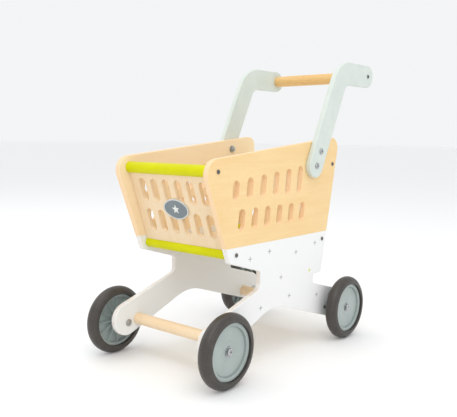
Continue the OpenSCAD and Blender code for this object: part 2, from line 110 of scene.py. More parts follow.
class Reading:
    """A value that changes over a surface, with Python's arithmetic for numbers."""

    def __init__(self, graph: "Graph", socket: bpy.types.NodeSocket) -> None:
        """Wraps one output socket of a graph."""
        self.graph = graph
        self.socket = socket

    def _math(self, operation: str, first: Any, second: Any) -> "Reading":
        """Adds one Math node on two values."""
        return self.graph.node("ShaderNodeMath", {"operation": operation}, {0: first, 1: second})

    def __add__(self, other: Any) -> "Reading":
        """Adds a value."""
        return self._math("ADD", self, other)

    def __radd__(self, other: Any) -> "Reading":
        """Adds this to a number."""
        return self._math("ADD", other, self)

    def __sub__(self, other: Any) -> "Reading":
        """Takes a value away."""
        return self._math("SUBTRACT", self, other)

    def __rsub__(self, other: Any) -> "Reading":
        """Takes this away from a number."""
        return self._math("SUBTRACT", other, self)

    def __mul__(self, other: Any) -> "Reading":
        """Multiplies by a value."""
        return self._math("MULTIPLY", self, other)

    def __rmul__(self, other: Any) -> "Reading":
        """Multiplies a number by this."""
        return self._math("MULTIPLY", other, self)

    def __abs__(self) -> "Reading":
        """Drops the sign."""
        return self._math("ABSOLUTE", self, 0.0)

    def wave(self) -> "Reading":
        """Gives the sine of this value, in radians."""
        return self._math("SINE", self, 0.0)

    def step(self, low: float, high: float) -> "Reading":
        """Rises smoothly from 0 at low to 1 at high, or falls if low is above high."""
        ends = {0: self, 1: min(low, high), 2: max(low, high)}
        ends |= {3: float(low > high), 4: float(low <= high)}
        return self.graph.node("ShaderNodeMapRange", {"interpolation_type": "SMOOTHSTEP"}, ends)


class Graph:
    """The node tree of one material."""

    def __init__(self, name: str) -> None:
        """Starts an empty material."""
        self.material = bpy.data.materials.new(name)
        self.material.use_nodes = True
        self.tree = self.material.node_tree
        self.tree.nodes.clear()

    def node(
        self,
        kind: str,
        settings: Mapping[str, Any] | None = None,
        sockets: Mapping[Any, Any] | None = None,
        output: int | str = 0,
    ) -> Reading:
        """Adds a node.

        Args:
            kind: Blender's name of the node type.
            settings: The node's own settings, which are set first.
            sockets: Values or readings for its input sockets, by name or number.
            output: The output to read.

        Returns:
            The reading of that output.
        """
        made = self.tree.nodes.new(kind)
        for key, value in (settings or {}).items():
            setattr(made, key, value)
        for key, value in (sockets or {}).items():
            if isinstance(value, Reading):
                self.tree.links.new(value.socket, made.inputs[key])
            else:
                made.inputs[key].default_value = value
        return Reading(self, made.outputs[output] if made.outputs else None)

    def place(self) -> Reading:
        """Gives the point on the surface, in the cart's own metres."""
        return self.node("ShaderNodeTexCoord", output="Object")

    def along(self, axis: Axis) -> Reading:
        """Gives one coordinate of the point on the surface."""
        return self.node("ShaderNodeSeparateXYZ", sockets={0: self.place()}, output=axis.value)

    def mark(self, name: str) -> Reading:
        """Gives a number stored on the mesh's faces."""
        return self.node("ShaderNodeAttribute", {"attribute_name": name}, output="Fac")

    def noise(self, per_metre: Sequence[float], detail: float = 2.0, bend: float = 0.0) -> Reading:
        """Adds noise.

        Args:
            per_metre: How many features fit in a metre along X, Y and Z.
            detail: How many finer layers it has.
            bend: How far it distorts itself.

        Returns:
            The noise, from 0 to 1.
        """
        product = {0: self.place(), 1: tuple(per_metre)}
        at = self.node("ShaderNodeVectorMath", {"operation": "MULTIPLY"}, product)
        sockets = {"Vector": at, "Scale": 1.0, "Detail": detail, "Distortion": bend}
        return self.node("ShaderNodeTexNoise", {"noise_dimensions": "3D"}, sockets)

    def mix(self, mask: Any, first: Any, second: Any) -> Reading:
        """Mixes two colours: first where the mask is 0 and second where it is 1."""
        sockets = {0: mask, 6: first, 7: second}
        return self.node("ShaderNodeMix", {"data_type": "RGBA"}, sockets, output=2)

    def bump(self, height: Reading, depth: float) -> Reading:
        """Turns a height into a normal.

        Args:
            height: The height, from 0 to 1.
            depth: What a height of 1 is, in metres.

        Returns:
            The bent normal.
        """
        sockets = {"Strength": 1.0, "Distance": depth, "Height": height}
        return self.node("ShaderNodeBump", {}, sockets)

    def surface(self, **sockets: Any) -> bpy.types.Material:
        """Ends the graph in a Principled shader.

        Args:
            sockets: Its inputs, with _ for a space in their names.

        Returns:
            The finished material.
        """
        named = {key.replace("_", " "): value for key, value in sockets.items()}
        shader = self.node("ShaderNodeBsdfPrincipled", {}, named)
        self.node("ShaderNodeOutputMaterial", {}, {"Surface": shader})
        return self.material


# ---- finishes ----


@dataclass(frozen=True)
class Wood:
    """Clear-lacquered wood.

    Attributes:
        name: The material's name.
        light: Paint code of the pale growth.
        dark: Paint code of the darker growth.
        fleck: Paint code of the short pores.
        grain: The way that the grain runs.
        flecks: How strongly the pores show, from 0 to 1.
        gloss: Roughness of the lacquer.
    """

    name: str
    light: str
    dark: str
    fleck: str
    grain: Axis
    flecks: float = 0.3
    gloss: float = 0.42

    def scaled(self, across: float, lengthwise: float) -> list[float]:
        """Gives features per metre along X, Y and Z, with the grain's way set apart."""
        return [lengthwise if axis is self.grain else across for axis in Axis]

    def pores(self, graph: Graph) -> Reading:
        """Gives the short dark flecks along the grain."""
        return graph.noise(self.scaled(1100, 95), detail=1.0).step(0.60, 0.72)

    def colour(self, graph: Graph) -> Reading:
        """Gives the wood's colour."""
        figure = graph.noise(self.scaled(70, 7), detail=2.0, bend=0.7)
        fibre = graph.noise(self.scaled(520, 14), detail=3.0)
        cloud = graph.noise((9, 9, 9), detail=1.0)
        growth = (figure * 0.5 + fibre * 0.2 + cloud * 0.4).step(0.24, 0.86)
        grown = graph.mix(growth, paint_colour(self.dark), paint_colour(self.light))
        return graph.mix(self.pores(graph) * self.flecks, grown, paint_colour(self.fleck))

    def relief(self, graph: Graph) -> Reading:
        """Gives the height of fibres and pores."""
        return graph.noise(self.scaled(900, 30), detail=2.0) * 0.6 - self.pores(graph) * 0.4

    def make(self) -> bpy.types.Material:
        """Builds the material."""
        graph = Graph(self.name)
        worn = graph.noise((24, 24, 24), detail=2.0)
        return graph.surface(
            Base_Color=self.colour(graph),
            Roughness=worn * 0.16 + (self.gloss - 0.08),
            Normal=graph.bump(self.relief(graph), 0.05 * MM),
            Specular_IOR_Level=0.42,
        )


@dataclass(frozen=True)
class PaintedPlywood:
    """A plywood board: lacquered above a level line and painted white below it.

    Attributes:
        name: The material's name.
        wood: The bare wood.
        paint: Paint code of the painted part.
        paint_edge: Paint code of the paint where it is thin, along the cut edges.
        inner_face_painted_light: Paint code of painted light that pales the wood on the basket's
            inner side, where the lamps leave it in shade.
        cut: Paint code of the pale plies in a bare cut edge.
        glue: Paint code of the darker plies and glue lines.
        line_z: Height of the paint's upper edge.
        inner_x: Distance of the board's inner face from the cart's middle.
        board_t: The board's thickness.
        plies: Number of plies.
        painted_light_fade: Depth over which the inner face's painted light fades.
        line_w: Width over which the paint's upper edge fades, and how far it strays.
    """

    name: str
    wood: Wood
    paint: str
    paint_edge: str
    inner_face_painted_light: str
    cut: str
    glue: str
    line_z: float
    inner_x: float
    board_t: float
    plies: int = 7
    painted_light_fade: float = 1.0 * MM
    line_w: float = 0.6 * MM

    def make(self) -> bpy.types.Material:
        """Builds the material."""
        graph = Graph(self.name)
        rim = graph.mark("rim")
        turns = self.plies * math.pi / self.board_t
        layers = ((abs(graph.along(Axis.X)) - self.inner_x) * turns).wave().step(-0.2, 0.5)
        streak = graph.noise((900, 60, 60), detail=2.0)
        ply = layers * 0.75 + streak * 0.25
        cut = graph.mix(ply, paint_colour(self.glue), paint_colour(self.cut))
        # Painted light: the wood on the inner face is mixed halfway to a pale tone, which stands
        # in for light that the lamps don't bring into the basket
        inside = abs(graph.along(Axis.X)).step(self.inner_x + self.painted_light_fade, self.inner_x)
        veneer_and_painted_light = graph.mix(inside * 0.5, self.wood.colour(graph), paint_colour(self.inner_face_painted_light))
        bare = graph.mix(rim, veneer_and_painted_light, cut)
        ragged = graph.noise((260, 260, 260), detail=2.0) * self.line_w
        painted = (graph.along(Axis.Z) + ragged).step(self.line_z + self.line_w, self.line_z)
        thin = rim * graph.noise((120, 120, 120), detail=3.0).step(0.3, 0.7)
        coat = graph.mix(thin, paint_colour(self.paint), paint_colour(self.paint_edge))
        peel = graph.noise((700, 700, 700), detail=1.0) * 0.35 + graph.noise((60, 60, 60)) * 0.5
        bared = 1 - painted
        height = self.wood.relief(graph) * bared + (peel + 0.4) * painted
        satin = graph.noise((30, 30, 30), detail=2.0) * 0.14
        return graph.surface(
            Base_Color=graph.mix(painted, bare, coat),
            Roughness=satin + painted * 0.02 + 0.36,
            Normal=graph.bump(height, 0.05 * MM),
            Specular_IOR_Level=0.4,
        )


@dataclass(frozen=True)
class Paint:
    """Satin paint on wood, or moulded plastic.

    Attributes:
        name: The material's name.
        colour: Paint code of the main colour.
        shade: Paint code where the coat is a little thicker.
        gloss: Mean roughness.
        peel: Depth of its fine texture, in metres.
        fine: Features of that texture in a metre.
        shine: Strength of its plain reflection.
    """

    name: str
    colour: str
    shade: str
    gloss: float = 0.4
    peel: float = 0.03 * MM
    fine: float = 700
    shine: float = 0.45

    def make(self) -> bpy.types.Material:
        """Builds the material."""
        graph = Graph(self.name)
        cloud = graph.noise((38, 38, 38), detail=3.0).step(0.3, 0.75)
        grain = graph.noise((self.fine,) * 3, detail=2.0)
        return graph.surface(
            Base_Color=graph.mix(cloud, paint_colour(self.shade), paint_colour(self.colour)),
            Roughness=grain * 0.12 + cloud * 0.06 + (self.gloss - 0.09),
            Normal=graph.bump(grain, self.peel),
            Specular_IOR_Level=self.shine,
        )


@dataclass(frozen=True)
class Rubber:
    """Moulded rubber: dark, with a soft shine, fine pits and a dusty tread.

    Attributes:
        name: The material's name.
        colour: Paint code of clean rubber.
        dust: Paint code of dusty rubber.
        gloss: Mean roughness.
    """

    name: str
    colour: str
    dust: str
    gloss: float = 0.4

    def make(self) -> bpy.types.Material:
        """Builds the material."""
        graph = Graph(self.name)
        pits = graph.noise((1300, 1300, 1300), detail=1.0)
        scuff = graph.noise((55, 90, 90), detail=4.0, bend=0.4).step(0.42, 0.8)
        return graph.surface(
            Base_Color=graph.mix(scuff * 0.6, paint_colour(self.colour), paint_colour(self.dust)),
            Roughness=pits * 0.12 + scuff * 0.14 + (self.gloss - 0.1),
            Normal=graph.bump(pits, 0.04 * MM),
            Specular_IOR_Level=0.6,
        )


@dataclass(frozen=True)
class Metal:
    """Plated steel.

    Attributes:
        name: The material's name.
        colour: Paint code of bright metal.
        dull: Paint code of dull patches.
        gloss: Mean roughness.
    """

    name: str
    colour: str
    dull: str
    gloss: float = 0.32

    def make(self) -> bpy.types.Material:
        """Builds the material."""
        graph = Graph(self.name)
        patch = graph.noise((300, 300, 300), detail=3.0).step(0.35, 0.75)
        scratch = graph.noise((2600, 900, 900), detail=1.0)
        return graph.surface(
            Base_Color=graph.mix(patch, paint_colour(self.dull), paint_colour(self.colour)),
            Roughness=patch * 0.12 + scratch * 0.1 + (self.gloss - 0.1),
            Metallic=0.95,
            Normal=graph.bump(scratch, 0.01 * MM),
        )


# ---- mesh tools ----


def packed_copy(node: str) -> bmesh.types.BMesh:
    """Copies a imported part's mesh as one merged shell with whole flat faces.

    Args:
        node: The part's name in the frame.

    Returns:
        The copy.
    """
    shape = bmesh.new()
    shape.from_mesh(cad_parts[node].data)
    bmesh.ops.remove_doubles(shape, verts=shape.verts, dist=SAME)
    bmesh.ops.dissolve_limit(shape, angle_limit=FLAT, verts=shape.verts, edges=shape.edges)
    return shape


def sharp_loops(shape: bmesh.types.BMesh) -> list[list[bmesh.types.BMEdge]]:
    """Groups a shape's sharp edges into the loops that they form."""
    # A dictionary keeps the edges in one order, and a set would not
    left = dict.fromkeys(
        e for e in shape.edges if len(e.link_faces) == 2 and e.calc_face_angle(0.0) > SHARP
    )
    loops = []
    while left:
        loop = [left.popitem()[0]]
        for edge in loop:
            near = dict.fromkeys(e for vert in edge.verts for e in vert.link_edges if e in left)
            for found in near:
                del left[found]
            loop.extend(near)
        loops.append(loop)
    return loops


def loop_size(loop: Iterable[bmesh.types.BMEdge]) -> float:
    """Gives the longest side of the box round some edges."""
    points = [vert.co for edge in loop for vert in edge.verts]
    return max(max(p[i] for p in points) - min(p[i] for p in points) for i in range(3))


def soften(shape: bmesh.types.BMesh, radius: float, least: float = 0.0, segments: int = 3) -> None:
    """Rounds a shape's sharp edges.

    Args:
        shape: The shape, which is changed.
        radius: Width of the rounding.
        least: Loops smaller than this, such as screw holes, stay sharp.
        segments: Number of faces across a rounding.
    """
    edges = [e for loop in sharp_loops(shape) if loop_size(loop) >= least for e in loop]
    bmesh.ops.bevel(
        shape,
        geom=edges,
        offset=radius,
        offset_type="OFFSET",
        segments=segments,
        profile=0.5,
        affect="EDGES",
        clamp_overlap=False,
        material=-1,
        loop_slide=False,
    )


def lathe(outline: Sequence[tuple[float, float, float]], steps: int) -> bmesh.types.BMesh:
    """Turns a closed outline round the X axis.

    Args:
        outline: Points along X and out from the axis, each with its corner's rounding.
        steps: Number of segments in a full turn.

    Returns:
        The turned shape.
    """
    shape = bmesh.new()
    points = [shape.verts.new((x, 0.0, r)) for x, r, _ in outline]
    face = shape.faces.new(points)
    for rounding in sorted({spot[2] for spot in outline} - {0.0}):
        bmesh.ops.bevel(
            shape,
            geom=[p for p, spot in zip(points, outline) if spot[2] == rounding],
            offset=rounding,
            offset_type="OFFSET",
            segments=3,
            profile=0.5,
            affect="VERTICES",
            clamp_overlap=False,
            material=-1,
        )
    bmesh.ops.delete(shape, geom=list(shape.faces), context="FACES_ONLY")
    bmesh.ops.spin(
        shape,
        geom=list(shape.verts) + list(shape.edges),
        cent=(0, 0, 0),
        axis=(1, 0, 0),
        angle=math.tau,
        steps=steps,
        use_merge=True,
    )
    bmesh.ops.remove_doubles(shape, verts=shape.verts, dist=SAME)
    bmesh.ops.recalc_face_normals(shape, faces=shape.faces)
    return shape


@dataclass
class SubAssembly:
    """Pieces that one maker fits together.

    Attributes:
        body: The moving body that they ride on.
    """

    body: str = "cart"

    def fit(
        self,
        name: str,
        shape: bmesh.types.BMesh,
        finishes: Sequence[bpy.types.Material],
        slot: str,
        stands_for: Sequence[str] = (),
    ) -> bpy.types.Object:
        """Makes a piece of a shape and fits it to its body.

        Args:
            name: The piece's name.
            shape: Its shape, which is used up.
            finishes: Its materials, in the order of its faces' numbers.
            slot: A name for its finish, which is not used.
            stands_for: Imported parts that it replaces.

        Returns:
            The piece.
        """
        mesh = bpy.data.meshes.new(name)
        shape.to_mesh(mesh)
        shape.free()
        mesh.shade_smooth()
        mesh.set_sharp_from_angle(angle=CRISP)
        for finish in finishes:
            mesh.materials.append(finish)
        piece = bpy.data.objects.new(name, mesh)
        bpy.context.scene.collection.objects.link(piece)
        even = piece.modifiers.new("even_normals", "WEIGHTED_NORMAL")
        even.keep_sharp = True
        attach(piece, self.body)
        if stands_for:
            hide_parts(*stands_for)
        LOG.info("%s: %d faces on %s", name, len(mesh.polygons), self.body)
        return piece


# ---- sub-assemblies ----


@dataclass
class Woodwork(SubAssembly):
    """Side boards, basket panels and basket floor.

    Attributes:
        board_edge: Rounding of a side board's edges.
        panel_edge: Rounding of a panel's edges.
        floor_edge: Rounding of the floor's edges.
        least: Smallest loop that is rounded, so that screw holes stay as drilled.
        rim_lean: A face is cut edge if less of its normal than this points along X.
    """

    board_edge: float = 1.3 * MM
    panel_edge: float = 0.9 * MM
    floor_edge: float = 0.4 * MM
    least: float = 9.5 * MM
    rim_lean: float = 0.6

    def side_board(self, side: Side, finish: bpy.types.Material) -> None:
        """Makes a side board and marks its cut edges."""
        node = f"side_board_{side.name.lower()}"
        shape = packed_copy(node)
        soften(shape, self.board_edge, self.least)
        rim = shape.faces.layers.float.new("rim")
        for face in shape.faces:
            face[rim] = float(abs(face.normal.x) < self.rim_lean)
        self.fit(f"{node}_fine", shape, [finish], "painted_board", [node])

    def make(self, board: bpy.types.Material, ply: bpy.types.Material) -> None:
        """Makes all the flat woodwork."""
        for side in Side:
            self.side_board(side, board)
        for node, edge in (
            ("front_panel", self.panel_edge),
            ("rear_panel", self.panel_edge),
            ("basket_floor", self.floor_edge),
        ):
            shape = packed_copy(node)
            soften(shape, edge, self.least)
            self.fit(f"{node}_fine", shape, [ply], "natural_ply", [node])


@dataclass
class Prints(SubAssembly):
    """Small crosses printed on the side boards' outer faces.

    Attributes:
        span: Length of a cross's stroke.
        stroke: Width of a stroke.
        film: Thickness of the ink.
        grey_at: Places of the grey crosses, along Y and Z.
        lime_at: Places of the yellow-green crosses, along Y and Z.
    """

    span: float = 7.6 * MM
    stroke: float = 1.3 * MM
    film: float = 0.06 * MM
    grey_at: tuple[tuple[float, float], ...] = (
        (-0.102, 0.1645),
        (-0.0555, 0.170),
        (0.014, 0.160),
        (0.068, 0.1685),
        (-0.025, 0.126),
        (-0.002, 0.093),
        (0.077, 0.0805),
        (-0.075, 0.0875),
    )
    lime_at: tuple[tuple[float, float], ...] = ((0.0535, 0.125),)

    def cross(self, shape: bmesh.types.BMesh, at: Vector, side: Side) -> None:
        """Adds one cross to a shape.

        Args:
            shape: The shape, which is added to.
            at: The cross's middle, on the board's face.
            side: The side of the cart.
        """
        made = bmesh.ops.create_grid(shape, x_segments=3, y_segments=3, size=1.0)["verts"]
        for vert in made:
            y, z = (
                math.copysign((self.span if abs(v) > 0.5 else self.stroke) / 2, v)
                for v in (vert.co.x, vert.co.y)
            )
            vert.co = at + Vector((-side.value * self.film / 2, y, z))
        faces = list(dict.fromkeys(face for vert in made for face in vert.link_faces))
        reach = (self.stroke + 0.01 * MM) / 2
        far = [
            face
            for face in faces
            if abs(face.calc_center_median().y - at.y) > reach
            and abs(face.calc_center_median().z - at.z) > reach
        ]
        bmesh.ops.delete(shape, geom=far, context="FACES")
        kept = [face for face in faces if face.is_valid]
        raised = bmesh.ops.extrude_face_region(shape, geom=kept, use_keep_orig=True)["geom"]
        moved = [item for item in raised if isinstance(item, bmesh.types.BMVert)]
        bmesh.ops.translate(shape, verts=moved, vec=(side.value * self.film, 0, 0))

    def make(self, grey: bpy.types.Material, lime: bpy.types.Material) -> None:
        """Prints both boards."""
        for side in Side:
            low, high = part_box(f"side_board_{side.name.lower()}")
            face_x = max(abs(low.x), abs(high.x)) * side.value
            for ink, places, word in ((grey, self.grey_at, "grey"), (lime, self.lime_at, "lime")):
                shape = bmesh.new()
                for y, z in places:
                    self.cross(shape, Vector((face_x, y, z)), side)
                bmesh.ops.recalc_face_normals(shape, faces=shape.faces)
                self.fit(f"{word}_crosses_{side.name.lower()}", shape, [ink], "painted_board")


@dataclass
class Bars(SubAssembly):
    """The coloured rods, the dowels between the legs and the handle bar.

    Attributes:
        end_edge: Rounding of a bar's ends.
        least: Smallest loop that is rounded.
    """

    end_edge: float = 0.5 * MM
    least: float = 9.5 * MM

    def make(
        self, green: bpy.types.Material, birch: bpy.types.Material, beech: bpy.types.Material
    ) -> None:
        """Makes all the round bars.

        Args:
            green: Finish of the basket's rods.
            birch: Finish of the dowels between the legs.
            beech: Finish of the handle bar.
        """
        rods = [f"{end}_{level}_rod" for end in ("front", "rear") for level in ("top", "bottom")]
        dowels = ["front_leg_dowel", "rear_leg_dowel"]
        for node in [*rods, *dowels, "handle_bar"]:
            shape = packed_copy(node)
            soften(shape, self.end_edge, self.least, segments=2)
            finish = green if node in rods else birch if node in dowels else beech
            slot = "green_paint" if node in rods else "beech"
            self.fit(f"{node}_fine", shape, [finish], slot, [node])


@dataclass
class HandleArms(SubAssembly):
    """The two painted arms that carry the handle bar.

    Attributes:
        edge: Rounding of an arm's edges.
        least: Smallest loop that is rounded.
    """

    edge: float = 2.2 * MM
    least: float = 9.5 * MM

    def make(self, mint: bpy.types.Material) -> None:
        """Makes both arms."""
        for side in Side:
            node = f"handle_arm_{side.name.lower()}"
            shape = packed_copy(node)
            soften(shape, self.edge, self.least, segments=5)
            self.fit(f"{node}_fine", shape, [mint], "mint_paint", [node])


@dataclass
class Badge(SubAssembly):
    """The oval badge with a raised pale rim and a plain star.

    Attributes:
        rim_w: Width of the rim.
        slope_w: Width of the slope from the rim down to the field.
        sink: Depth of the field below the rim.
        edge: Rounding of the outer edge.
        star_r: Radius of the star's tips.
        waist: Radius of the star's notches, in tip radii.
        star_h: Height of the star over the field.
        star_points: Number of its tips.
        star_edge: Rounding of its edges.
    """

    rim_w: float = 1.0 * MM
    slope_w: float = 0.4 * MM
    sink: float = 0.5 * MM
    edge: float = 0.5 * MM
    star_r: float = 7.5 * MM
    waist: float = 0.42
    star_h: float = 0.45 * MM
    star_points: int = 5
    star_edge: float = 0.12 * MM

    def make(
        self, rim: bpy.types.Material, field: bpy.types.Material, star: bpy.types.Material
    ) -> None:
        """Makes the badge and its star."""
        shape = packed_copy("badge")
        soften(shape, self.edge, segments=3)
        front = max((f for f in shape.faces if f.normal.y < -0.5), key=lambda f: f.calc_area())
        out = front.normal.copy()
        bmesh.ops.inset_region(shape, faces=[front], thickness=self.rim_w, use_even_offset=True)
        bmesh.ops.inset_region(
            shape, faces=[front], thickness=self.slope_w, depth=-self.sink, use_even_offset=True
        )
        front.material_index = 1
        middle = front.calc_center_bounds()
        self.fit("badge_plate", shape, [rim, field], "badge_plastic", ["badge"])

        shape = bmesh.new()
        tips = bmesh.ops.create_circle(
            shape, cap_ends=True, segments=2 * self.star_points, radius=self.star_r
        )["verts"]
        bmesh.ops.scale(shape, vec=(self.waist,) * 3, verts=tips[1::2])
        risen = bmesh.ops.extrude_face_region(shape, geom=list(shape.faces), use_keep_orig=True)
        moved = [item for item in risen["geom"] if isinstance(item, bmesh.types.BMVert)]
        bmesh.ops.translate(shape, verts=moved, vec=(0, 0, self.star_h))
        bmesh.ops.recalc_face_normals(shape, faces=shape.faces)
        soften(shape, self.star_edge, segments=2)
        across = Vector((1, 0, 0))
        up = out.cross(across)
        turn = Matrix((across, up, out)).transposed().to_4x4()
        bmesh.ops.transform(shape, matrix=Matrix.Translation(middle) @ turn, verts=shape.verts)
        self.fit("badge_star", shape, [star], "badge_plastic")


@dataclass
class Wheel(SubAssembly):
    """One wheel: a solid tyre on a ribbed hub with a bush.

    Attributes:
        corner: The wheel's place.
        groove: Depth of the moulded grooves in the tyre.
        tyre_points: Points round the tyre's section.
        steps: Segments round the wheel.
        rim_r: Radius of the tyre's seat.
        bore_r: Radius of the hub's bore.
        boss_r: Radius of the centre boss.
        boss_in: Length of the boss on the inner side of the wheel's middle.
        wall: Wall of the hub's barrel.
        rim_in: Width of the barrel on the inner side.
        rim_out: Width of the barrel on the outer side.
        ring_r: Inner radius of the raised ring on the face.
        gully: Width of the groove inside the ring.
        dish: Height of the centre face over the wheel's middle.
        dish_t: Thickness of the dish.
        pad_r: Radius of the raised centre of the face.
        sunk: How far the face lies below that centre.
        ribs: Number of ribs behind the dish.
        rib_t: Thickness of a rib.
        rib_set: How far a rib's back edge lies inside the barrel's.
        rib_sink: How far a rib reaches into what it joins.
        rib_draft: Thickness of a rib's back edge, as a share of its front's.
        fine_edge: Rounding of the ribs and the bush.
        dips: Each moulded groove's place and width, in degrees, and its share of the depth.
    """

    corner: Corner = Corner.FRONT_LEFT
    groove: float = 0.45 * MM
    tyre_points: int = 56
    steps: int = 112
    rim_r: float = 40.5 * MM
    bore_r: float = 5.25 * MM
    boss_r: float = 10.0 * MM
    boss_in: float = 8.0 * MM
    wall: float = 4.0 * MM
    rim_in: float = 5.6 * MM
    rim_out: float = 6.7 * MM
    ring_r: float = 34.95 * MM
    gully: float = 1.6 * MM
    dish: float = 3.4 * MM
    dish_t: float = 2.6 * MM
    pad_r: float = 13.0 * MM
    sunk: float = 0.5 * MM
    ribs: int = 12
    rib_t: float = 1.6 * MM
    rib_set: float = 1.0 * MM
    rib_sink: float = 0.4 * MM
    rib_draft: float = 0.7
    fine_edge: float = 0.25 * MM
    dips: tuple[tuple[float, float, float], ...] = ((38.0, 3.2, 1.0), (9.0, 3.0, 0.8))

    def tyre_outline(self, wheel_r: float, half_w: float) -> list[tuple[float, float, float]]:
        """Gives the tyre's section: a round crown with a groove at each shoulder and bead.

        Args:
            wheel_r: Radius over the tread.
            half_w: Half the tyre's width, which is also the section's radius.

        Returns:
            Points along X and out from the axle, each with no rounding.
        """
        middle_r = wheel_r - half_w
        start = math.asin((self.rim_r - middle_r) / half_w)
        outline = []
        for i in range(self.tyre_points + 1):
            turn = start + (math.pi - 2 * start) * i / self.tyre_points
            from_side = math.degrees(min(turn, math.pi - turn))
            dip = sum(
                deep * math.exp(-(((from_side - at) / wide) ** 2)) for at, wide, deep in self.dips
            )
            r = half_w - self.groove * dip
            outline.append((r * math.cos(turn), middle_r + r * math.sin(turn), 0.0))
        return outline

    def hub_outline(self) -> list[tuple[float, float, float]]:
        """Gives the hub's section with the rounding of each corner."""
        barrel_r = self.rim_r - 0.05 * MM
        face = self.dish - self.sunk
        back = self.dish - self.dish_t
        deep = self.dish - self.dish_t / 2
        fine, small, large = 0.2 * MM, 0.4 * MM, 1.0 * MM
        return [
            (-self.boss_in, self.bore_r, small),
            (-self.boss_in, self.boss_r, small),
            (back, self.boss_r, small),
            (back, barrel_r - self.wall, small),
            (-self.rim_in, barrel_r - self.wall, small),
            (-self.rim_in, barrel_r, small),
            (self.rim_out, barrel_r, large),
            (self.rim_out, self.ring_r, large),
            (deep, self.ring_r, fine),
            (deep, self.ring_r - self.gully, fine),
            (face, self.ring_r - self.gully, fine),
            (face, self.pad_r + self.sunk, fine),
            (self.dish, self.pad_r, fine),
            (self.dish, self.bore_r, fine),
        ]

    def add_ribs(self, shape: bmesh.types.BMesh) -> None:
        """Adds the ribs between the boss and the barrel, behind the dish."""
        inner, outer = self.boss_r - self.rib_sink, self.rim_r - self.wall + self.rib_sink
        back, front = self.rib_set - self.rim_in, self.dish - self.dish_t + self.rib_sink
        rib = bmesh.new()
        bmesh.ops.create_cube(rib, size=1.0)
        bmesh.ops.scale(rib, vec=(front - back, self.rib_t, outer - inner), verts=rib.verts)
        bmesh.ops.translate(
            rib, vec=((front + back) / 2, 0, (outer + inner) / 2), verts=rib.verts
        )
        draft = [vert for vert in rib.verts if vert.co.x < 0]
        bmesh.ops.scale(rib, vec=(1, self.rib_draft, 1), verts=draft)
        soften(rib, self.fine_edge, segments=2)
        bmesh.ops.spin(
            rib,
            geom=list(rib.verts) + list(rib.edges) + list(rib.faces),
            cent=(0, 0, 0),
            axis=(1, 0, 0),
            angle=math.tau * (self.ribs - 1) / self.ribs,
            steps=self.ribs - 1,
            use_duplicate=True,
        )
        carrier = bpy.data.meshes.new("ribs")
        rib.to_mesh(carrier)
        rib.free()
        shape.from_mesh(carrier)
        bpy.data.meshes.remove(carrier)

    def settle(self, shape: bmesh.types.BMesh, centre: Vector) -> None:
        """Turns a shape's face to its own side and moves it on to the axle."""
        if self.corner.value[1] is Side.LEFT:
            bmesh.ops.scale(shape, vec=(-1, 1, 1), verts=shape.verts)
            bmesh.ops.reverse_faces(shape, faces=shape.faces)
        bmesh.ops.translate(shape, vec=centre, verts=shape.verts)

    def make(
        self, rubber: bpy.types.Material, plastic: bpy.types.Material, black: bpy.types.Material
    ) -> None:
        """Makes the wheel's tyre, hub and bush."""
        name = self.corner.value[0]
        self.body = f"wheel_{name}"
        low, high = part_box(f"tyre_{name}")
        centre, half = (low + high) / 2, (high - low) / 2
        tyre = lathe(self.tyre_outline(half.z, half.x), self.steps)
        self.settle(tyre, centre)
        self.fit(f"tyre_{name}_fine", tyre, [rubber], "tyre_rubber", [f"tyre_{name}"])
        hub = lathe(self.hub_outline(), self.steps)
        self.add_ribs(hub)
        self.settle(hub, centre)
        self.fit(f"hub_{name}_fine", hub, [plastic], "hub_plastic", [f"hub_{name}"])
        bush = packed_copy(f"bush_{name}")
        soften(bush, self.fine_edge, segments=2)
        self.fit(f"bush_{name}_fine", bush, [black], "black_plastic", [f"bush_{name}"])


@dataclass
class Fasteners(SubAssembly):
    """Screws, bolts, washers, nuts and spacers."""

    def make(
        self, steel: bpy.types.Material, zinc: bpy.types.Material, black: bpy.types.Material
    ) -> None:
        """Makes all the fasteners.

        Args:
            steel: Finish of the wood screws.
            zinc: Finish of the bolts, washers and nuts.
            black: Finish of the spacers.
        """
        # Part, its finish, its slot, the rounding, and the smallest loop that is rounded
        rows = (
            ("rod_screws", steel, "screw_steel", 0.5 * MM, 5.5 * MM),
            ("handle_bar_screws", steel, "screw_steel", 0.5 * MM, 5.5 * MM),
            ("arm_bolts", zinc, "zinc_steel", 0.9 * MM, 7.0 * MM),
            ("arm_washers", zinc, "zinc_steel", 0.2 * MM, 0.0),
            ("arm_nuts", zinc, "zinc_steel", 0.3 * MM, 0.0),
            ("axle_bolts", zinc, "zinc_steel", 0.9 * MM, 8.0 * MM),
            ("axle_washers", zinc, "zinc_steel", 0.2 * MM, 0.0),
            ("axle_nuts", zinc, "zinc_steel", 0.3 * MM, 0.0),
            ("axle_spacers", black, "black_plastic", 0.4 * MM, 0.0),
        )
        for node, finish, slot, edge, least in rows:
            shape = packed_copy(node)
            soften(shape, edge, least, segments=3)
            self.fit(f"{node}_fine", shape, [finish], slot, [node])


# ---- studio ----


@dataclass(frozen=True)
class Lamp:
    """A square lamp.

    Attributes:
        name: The lamp's name.
        at: Its place.
        size: Its side.
        power: Its power in watts.
    """

    name: str
    at: tuple[float, float, float]
    size: float
    power: float

    def hang(self, aim: Vector) -> None:
        """Hangs the lamp so that it faces a point."""
        data = bpy.data.lights.new(self.name, "AREA")
        data.shape = "SQUARE"
        data.size = self.size
        data.energy = self.power
        lamp = bpy.data.objects.new(self.name, data)
        lamp.location = self.at
        lamp.rotation_euler = (aim - Vector(self.at)).to_track_quat("-Z", "Y").to_euler()
        bpy.context.scene.collection.objects.link(lamp)


